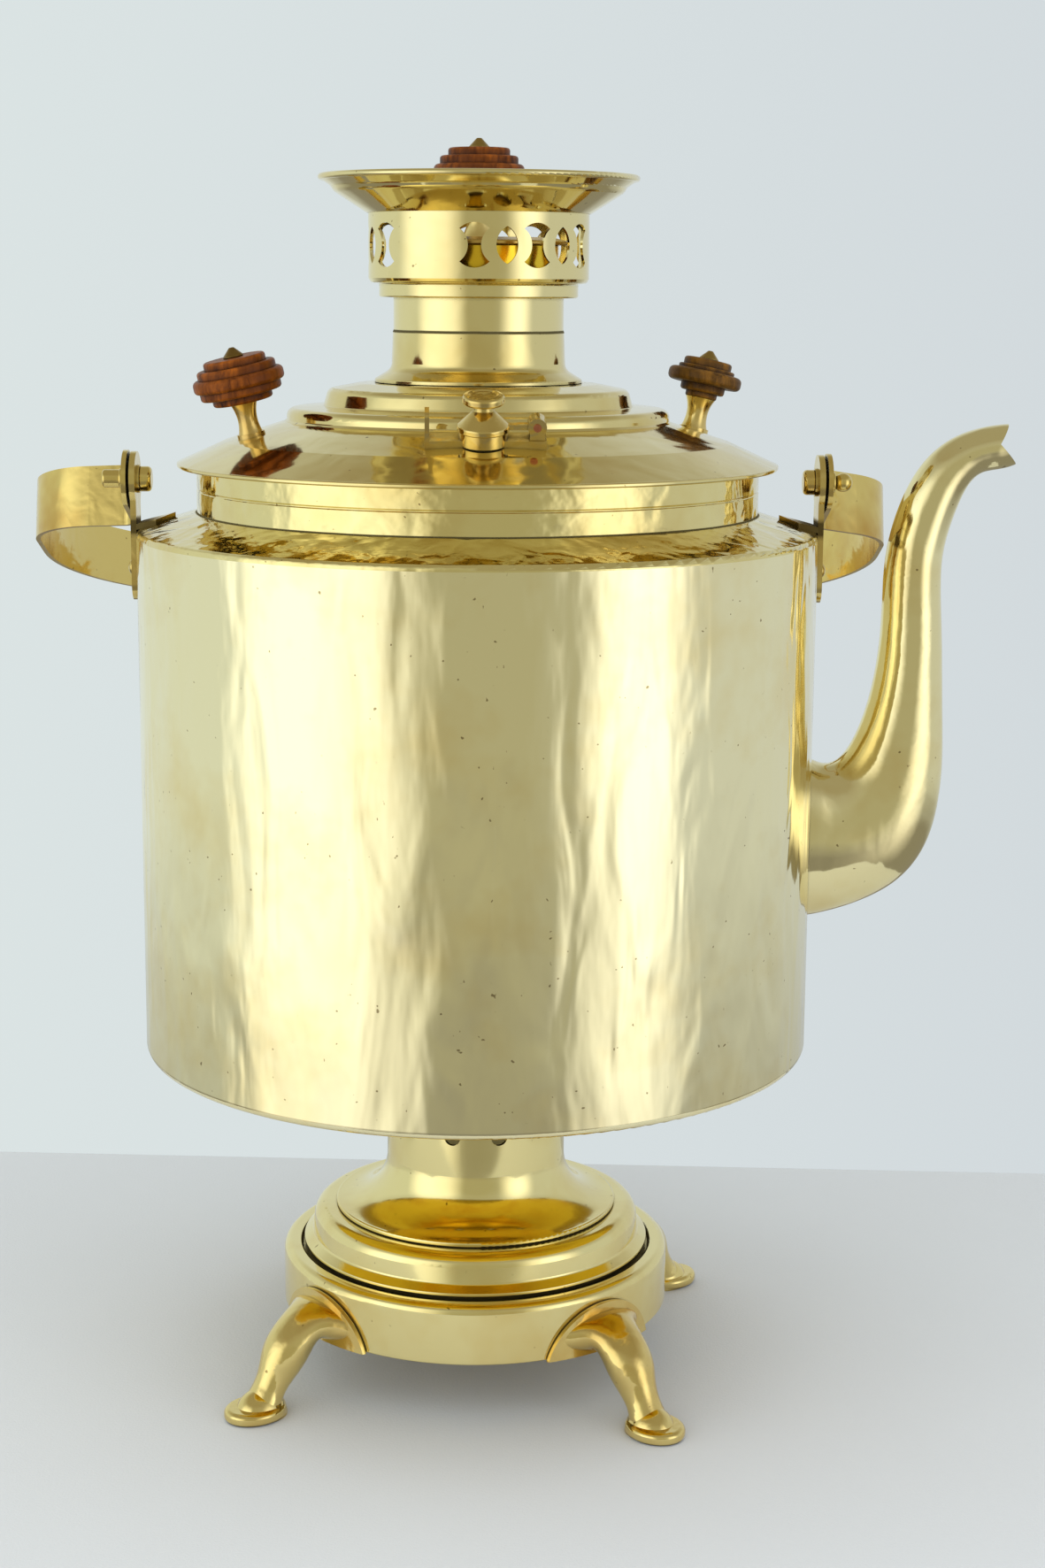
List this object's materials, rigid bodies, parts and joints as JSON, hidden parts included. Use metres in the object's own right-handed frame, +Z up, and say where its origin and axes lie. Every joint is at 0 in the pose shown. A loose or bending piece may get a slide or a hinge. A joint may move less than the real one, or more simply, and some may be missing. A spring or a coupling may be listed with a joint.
{
  "type": "samovar kettle",
  "caption": "Charcoal samovar kettle: cylindrical brass body on a footed base, swan-neck spout, folding strap handle, stepped lid with wooden knobs, pierced crown with saucer",
  "frame": {"origin": "on the table, under the axis of the body", "axes": "+X towards the spout, -Y towards the steam vent (front), +Z up"},
  "size_m": [0.3838, 0.3039, 0.4793],
  "materials": {
    "polished_brass": "sheet brass, spun or hammered, polished by hand",
    "cast_brass": "cast or forged brass, polished",
    "turned_wood": "turned wood, red-brown varnish",
    "copper": "bare copper rod, dulled",
    "grate_iron": "rough cast"
  },
  "bodies": {
    "kettle": {"plinth": "polished_brass", "base_moulding": "polished_brass", "base_flare": "polished_brass", "air_collar": "polished_brass", "grate": "grate_iron", "foot_front_right": "cast_brass", "foot_back_right": "cast_brass", "foot_back_left": "cast_brass", "foot_front_left": "cast_brass", "body_wall": "polished_brass", "body_bottom": "polished_brass", "shoulder": "polished_brass", "neck_band": "polished_brass", "fire_tube": "polished_brass", "spout": "polished_brass", "bracket_right": "cast_brass", "bracket_left": "cast_brass", "bracket_rivets": "cast_brass", "pivot_bolts": "cast_brass", "pivot_nuts": "cast_brass", "pivot_washers": "cast_brass", "pivot_spacers": "cast_brass"},
    "handle": {"swing_handle": "cast_brass"},
    "lid": {"lid": "polished_brass", "lid_skirt": "polished_brass", "lid_collar": "polished_brass", "knob_stem_right": "cast_brass", "knob_stem_left": "cast_brass", "knob_head_right": "turned_wood", "knob_head_left": "turned_wood", "knob_rod_right": "cast_brass", "knob_rod_left": "cast_brass", "vent_seat": "cast_brass", "vent_pin": "copper"},
    "vent_cap": {"vent_cap": "cast_brass"},
    "crown": {"crown_sleeve": "polished_brass", "crown_ring": "polished_brass", "crown_gallery": "polished_brass", "crown_saucer": "polished_brass"},
    "chimney_cap": {"chimney_cap": "polished_brass", "cap_stem": "cast_brass", "cap_head": "turned_wood", "cap_rod": "cast_brass"}
  },
  "joints": [
    {"name": "handle_swing", "type": "hinge", "parent": "kettle", "child": "handle", "pos_m": [0, 0, 0.3518], "axis": [1, 0, 0], "range_deg": [-20, 236]},
    {"name": "lid_lift", "type": "slide", "parent": "kettle", "child": "lid", "axis": [0, 0, 1], "range_m": [0, 0.1]},
    {"name": "vent_hinge", "type": "hinge", "parent": "lid", "child": "vent_cap", "pos_m": [0.02057, -0.0843, 0.37773], "axis": [-0.0202, 0.9657, 0.2588], "range_deg": [0, 100]},
    {"name": "crown_lift", "type": "slide", "parent": "lid", "child": "crown", "axis": [0, 0, 1], "range_m": [0, 0.045]},
    {"name": "cap_lift", "type": "slide", "parent": "crown", "child": "chimney_cap", "axis": [0, 0, 1], "range_m": [0, 0.045]}
  ]
}
